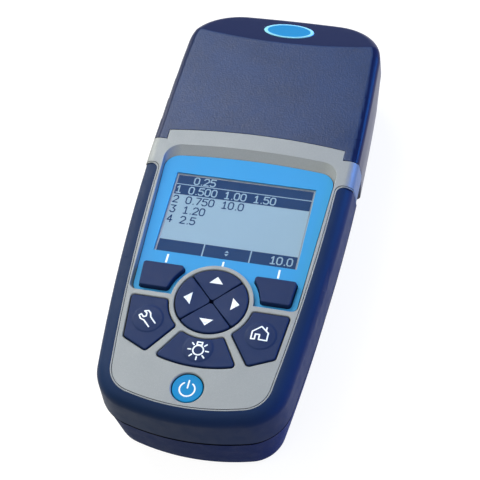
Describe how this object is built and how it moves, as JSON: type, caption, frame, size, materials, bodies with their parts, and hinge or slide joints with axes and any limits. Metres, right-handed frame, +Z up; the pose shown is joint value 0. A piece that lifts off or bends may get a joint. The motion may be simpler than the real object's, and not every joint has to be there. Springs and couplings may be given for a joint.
{
  "type": "portable colorimeter",
  "caption": "Handheld field colorimeter with a display and keypad in its face, a soft grip, and a long pull-off cap over a sample cell well.",
  "frame": {"origin": "middle of the plan outline, on the plane of the feet", "axes": "+Z up through the display face, +Y from the keypad towards the cap, +X to the right of someone who reads the display"},
  "size_m": [0.0986, 0.231, 0.0487],
  "materials": {
    "navy_shell": "fine matte texture",
    "navy_grip": "soft matte skin",
    "grey_shell": "light metallic grey, satin",
    "blue_panel": "printed film, satin",
    "clear_window": "clear, glossy",
    "display_glass": "reflective display",
    "backlight_white": "milky",
    "key_navy": "satin rubber",
    "power_blue": "satin",
    "badge_blue": "gloss",
    "head_black": "matte black",
    "seal_black": "matte rubber",
    "foot_rubber": "matte rubber",
    "board_green": "solder mask",
    "screw_steel": "plain steel",
    "spring_steel": "nickel plated",
    "socket_steel": "drawn steel",
    "cell_can": "wrapped can",
    "led_lens": "clear epoxy",
    "optic_glass": "polished",
    "diode_can": "plated can"
  },
  "bodies": {
    "root": {"front_shell": "grey_shell", "grip_overmould": "navy_grip", "rear_case": "navy_shell", "case_gasket": "seal_black", "case_screws": "screw_steel", "head_screws": "screw_steel", "display_overlay": "blue_panel", "display_window": "clear_window", "lcd_panel": "display_glass", "backlight": "backlight_white", "main_board": "board_green", "board_screws": "screw_steel", "keypad_mat": "seal_black", "head_block": "head_black", "well_seal": "seal_black", "led_board": "board_green", "detector_board": "board_green", "source_cover": "head_black", "detector_cover": "head_black", "source_lens": "optic_glass", "detector_filter": "optic_glass", "photodiode": "diode_can", "usb_port": "socket_steel", "battery_plates": "spring_steel", "battery_springs": "spring_steel", "led_1": "led_lens", "battery_cell_1": "cell_can", "foot_1": "foot_rubber", "led_2": "led_lens", "battery_cell_2": "cell_can", "foot_2": "foot_rubber", "led_3": "led_lens", "battery_cell_3": "cell_can", "foot_3": "foot_rubber", "led_4": "led_lens", "battery_cell_4": "cell_can", "foot_4": "foot_rubber"},
    "cap": {"cap_shell": "navy_shell", "cap_badge": "badge_blue"},
    "battery_door": {"battery_door": "navy_shell", "door_gasket": "seal_black"},
    "door_screw_1": {"door_screw_1": "screw_steel"},
    "door_screw_2": {"door_screw_2": "screw_steel"},
    "usb_plug": {"usb_plug": "seal_black"},
    "key_up": {"key_up": "key_navy"},
    "key_left": {"key_left": "key_navy"},
    "key_down": {"key_down": "key_navy"},
    "key_right": {"key_right": "key_navy"},
    "soft_key_left": {"soft_key_left": "key_navy"},
    "soft_key_right": {"soft_key_right": "key_navy"},
    "settings_key": {"settings_key": "key_navy"},
    "home_key": {"home_key": "key_navy"},
    "lamp_key": {"lamp_key": "key_navy"},
    "power_key": {"power_key": "power_blue"}
  },
  "joints": [
    {"name": "cap_slide", "type": "slide", "parent": "root", "child": "cap", "axis": [0, 1, 0], "range_m": [0, 0.095]},
    {"name": "key_up_press", "type": "slide", "parent": "root", "child": "key_up", "axis": [0, 0, -1], "range_m": [0, 0.0007], "stiffness_N_per_m": 1500},
    {"name": "key_left_press", "type": "slide", "parent": "root", "child": "key_left", "axis": [0, 0, -1], "range_m": [0, 0.0007], "stiffness_N_per_m": 1500},
    {"name": "key_down_press", "type": "slide", "parent": "root", "child": "key_down", "axis": [0, 0, -1], "range_m": [0, 0.0007], "stiffness_N_per_m": 1500},
    {"name": "key_right_press", "type": "slide", "parent": "root", "child": "key_right", "axis": [0, 0, -1], "range_m": [0, 0.0007], "stiffness_N_per_m": 1500},
    {"name": "soft_key_left_press", "type": "slide", "parent": "root", "child": "soft_key_left", "axis": [0, 0, -1], "range_m": [0, 0.0007], "stiffness_N_per_m": 1500},
    {"name": "soft_key_right_press", "type": "slide", "parent": "root", "child": "soft_key_right", "axis": [0, 0, -1], "range_m": [0, 0.0007], "stiffness_N_per_m": 1500},
    {"name": "settings_key_press", "type": "slide", "parent": "root", "child": "settings_key", "axis": [0, 0, -1], "range_m": [0, 0.0007], "stiffness_N_per_m": 1500},
    {"name": "home_key_press", "type": "slide", "parent": "root", "child": "home_key", "axis": [0, 0, -1], "range_m": [0, 0.0007], "stiffness_N_per_m": 1500},
    {"name": "lamp_key_press", "type": "slide", "parent": "root", "child": "lamp_key", "axis": [0, 0, -1], "range_m": [0, 0.0007], "stiffness_N_per_m": 1500},
    {"name": "power_key_press", "type": "slide", "parent": "root", "child": "power_key", "axis": [0, 0, -1], "range_m": [0, 0.0007], "stiffness_N_per_m": 1500},
    {"name": "battery_door_lift", "type": "slide", "parent": "root", "child": "battery_door", "axis": [0, 0, -1], "range_m": [0, 0.012]},
    {"name": "door_screw_1_turn", "type": "hinge", "parent": "battery_door", "child": "door_screw_1", "pos_m": [0, -0.0725, 0], "axis": [0, 0, 1], "continuous": true},
    {"name": "door_screw_2_turn", "type": "hinge", "parent": "battery_door", "child": "door_screw_2", "pos_m": [0, -0.0035, 0], "axis": [0, 0, 1], "continuous": true},
    {"name": "usb_plug_pull", "type": "slide", "parent": "root", "child": "usb_plug", "axis": [0, 1, 0], "range_m": [0, 0.006]}
  ]
}
